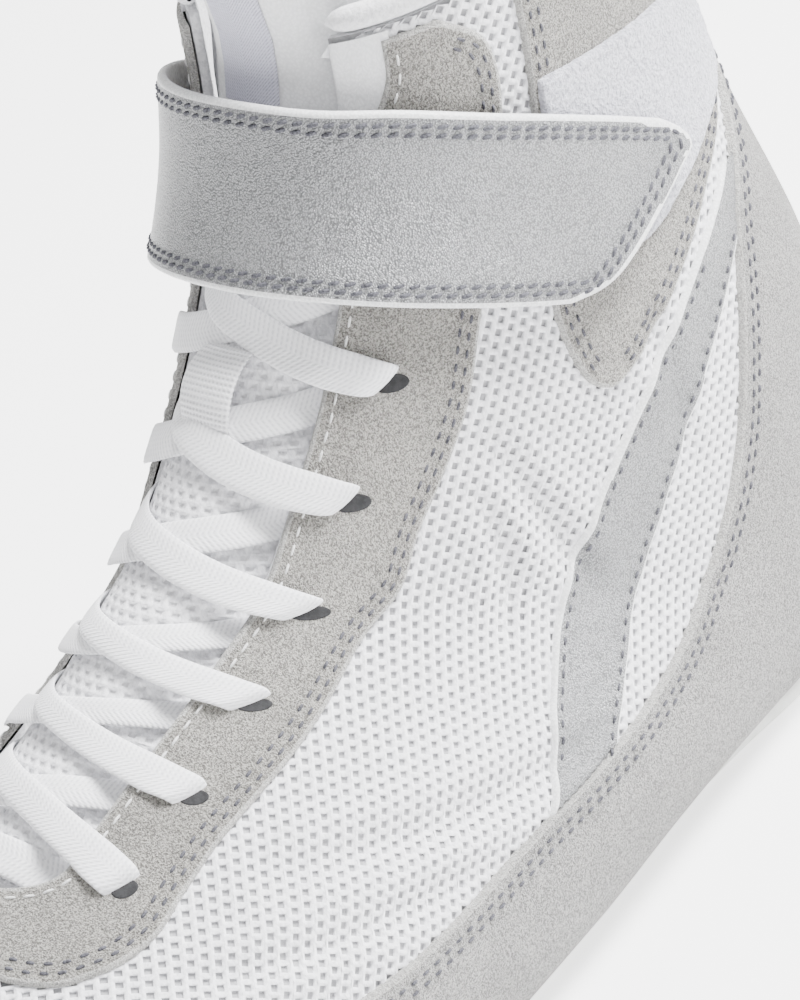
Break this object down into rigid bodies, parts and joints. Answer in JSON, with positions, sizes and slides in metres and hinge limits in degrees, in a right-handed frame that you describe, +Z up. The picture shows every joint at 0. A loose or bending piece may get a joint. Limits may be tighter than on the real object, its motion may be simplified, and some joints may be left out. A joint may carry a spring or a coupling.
{
  "type": "wrestling shoe",
  "caption": "Ankle-high soft wrestling shoe for the left foot, laced and closed with an ankle strap, standing empty on a thin split-tread rubber sole.",
  "frame": {"origin": "on the ground under the middle of the heel's tread", "axes": "+X from heel to toe, +Y to the lateral side, +Z up"},
  "size_m": [0.2914, 0.1013, 0.1864],
  "materials": {
    "mesh": "open knitted mesh, white over lilac grey",
    "suede": "warm light grey suede with a short nap",
    "silver": "fine-pebbled silver synthetic leather",
    "pile": "brushed white loop pile",
    "lining": "white knitted lining",
    "tongue_mesh": "raised open air mesh",
    "label": "woven twill tape, bare",
    "lace": "flat woven white lace",
    "rubber": "matt off-white gum rubber"
  },
  "bodies": {
    "root": {"upper": "mesh", "eyestay": "suede", "foxing": "suede", "ankle_panel_lateral": "suede", "ankle_panel_medial": "suede", "loop_patch": "pile", "side_band_lateral": "silver", "side_band_medial": "silver", "collar_cuff": "lining", "tongue": "tongue_mesh", "tongue_label": "label", "laces": "lace", "lace_loop": "lace", "ankle_strap": "silver", "outsole": "rubber", "insole": "lining"}
  },
  "joints": []
}
